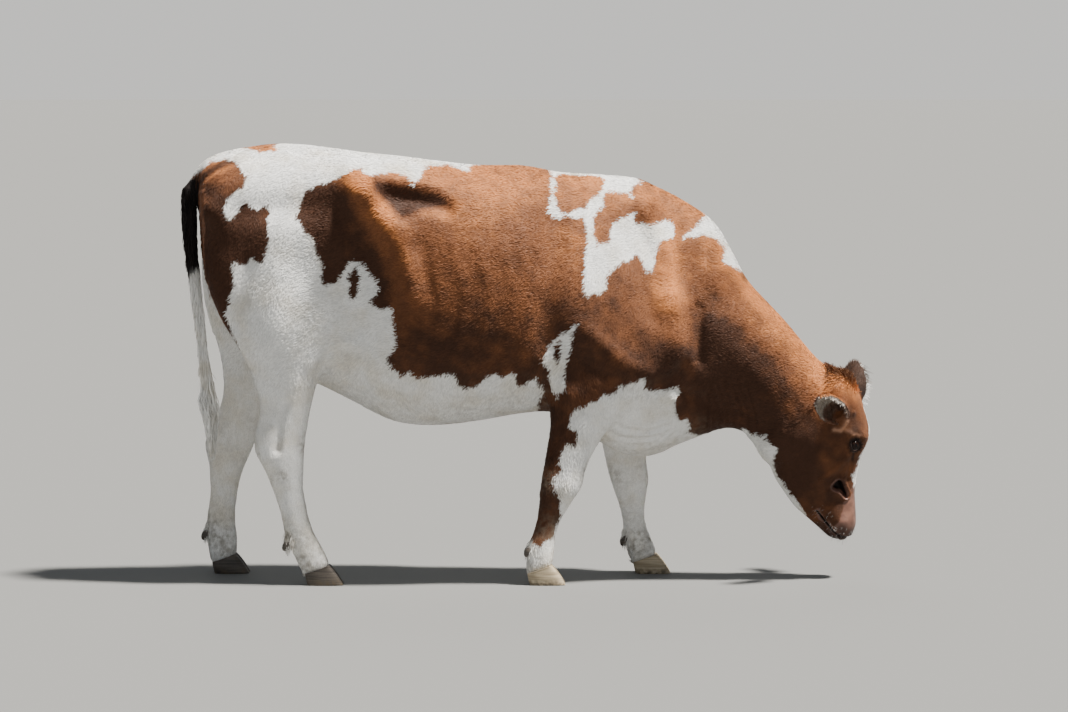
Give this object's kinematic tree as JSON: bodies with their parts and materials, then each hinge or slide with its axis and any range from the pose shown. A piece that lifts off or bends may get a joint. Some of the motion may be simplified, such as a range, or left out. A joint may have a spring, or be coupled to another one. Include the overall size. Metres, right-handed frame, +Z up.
{
  "type": "grazing cow",
  "caption": "Life-size red and white dairy cow, standing and grazing with its head down, as a still model with claws, ears, eyes and tail switch in nodes of their own.",
  "frame": {"origin": "middle of the bounding box in plan, at the level of the soles", "axes": "+X towards the head, +Y the animal's left, +Z up"},
  "size_m": [2.2859, 0.645, 1.4492],
  "materials": {
    "coat": "short glossy hair over hide, red-brown and white patches",
    "long_hair": "long wavy hair of the tail and its switch",
    "bare_skin": "moist bare skin of the muzzle and eyelids",
    "eye": "wet dark brown eye",
    "horn": "ridged hoof horn"
  },
  "bodies": {
    "root": {"trunk": "coat", "neck": "coat", "head": "coat", "leg_hind_right": "coat", "leg_hind_left": "coat", "leg_fore_right": "coat", "leg_fore_left": "coat", "ear_left": "coat", "eye_left": "eye", "ear_right": "coat", "eye_right": "eye", "tail": "long_hair", "tail_switch": "long_hair", "claw_hind_right_inner": "horn", "dewclaw_hind_right_inner": "horn", "claw_hind_right_outer": "horn", "dewclaw_hind_right_outer": "horn", "claw_hind_left_inner": "horn", "dewclaw_hind_left_inner": "horn", "claw_hind_left_outer": "horn", "dewclaw_hind_left_outer": "horn", "claw_fore_right_inner": "horn", "dewclaw_fore_right_inner": "horn", "claw_fore_right_outer": "horn", "dewclaw_fore_right_outer": "horn", "claw_fore_left_inner": "horn", "dewclaw_fore_left_inner": "horn", "claw_fore_left_outer": "horn", "dewclaw_fore_left_outer": "horn"}
  },
  "joints": []
}
